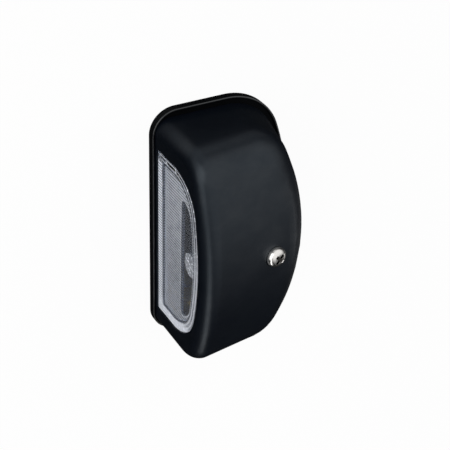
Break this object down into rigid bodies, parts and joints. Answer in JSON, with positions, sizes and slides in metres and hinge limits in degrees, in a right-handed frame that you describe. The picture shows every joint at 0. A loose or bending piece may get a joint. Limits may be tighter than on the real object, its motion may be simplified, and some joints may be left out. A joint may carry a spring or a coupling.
{
  "type": "number plate lamp",
  "caption": "Black arched hood with a clear D-shaped window in its upright side, screwed to a rimmed base plate that bolts flat to a vehicle and lights its number plate.",
  "frame": {"origin": "centre of the mounting face, on the underside of the base plate", "axes": "+X along the lamp, -Y the way the window faces, +Z out of the mounting face"},
  "size_m": [0.084, 0.0498, 0.0364],
  "materials": {
    "hood_black": "satin moulded black",
    "base_black": "fine grained black",
    "rubber_black": "dull black",
    "lens_clear": "clear, with fine upright prisms inside",
    "screw_bright": "bright nickel plate",
    "contact_brass": "bright rolled",
    "cap_nickel": "dull nickel plate",
    "bulb_clear": "clear",
    "filament_wire": "dull drawn wire"
  },
  "bodies": {
    "root": {"base_plate": "base_black", "mounting_gasket": "rubber_black", "cover": "hood_black", "lens": "lens_clear", "lens_seal": "rubber_black", "cover_screw": "screw_bright", "screw_washer": "rubber_black", "pillar_insert": "contact_brass", "bulb_glass": "bulb_clear", "bulb_cap_left": "cap_nickel", "bulb_cap_right": "cap_nickel", "bulb_filament": "filament_wire", "contact_left": "contact_brass", "contact_right": "contact_brass", "contact_rivets": "cap_nickel", "terminal_blocks": "contact_brass", "terminal_screws": "cap_nickel", "cable_grommet": "rubber_black"}
  },
  "joints": []
}
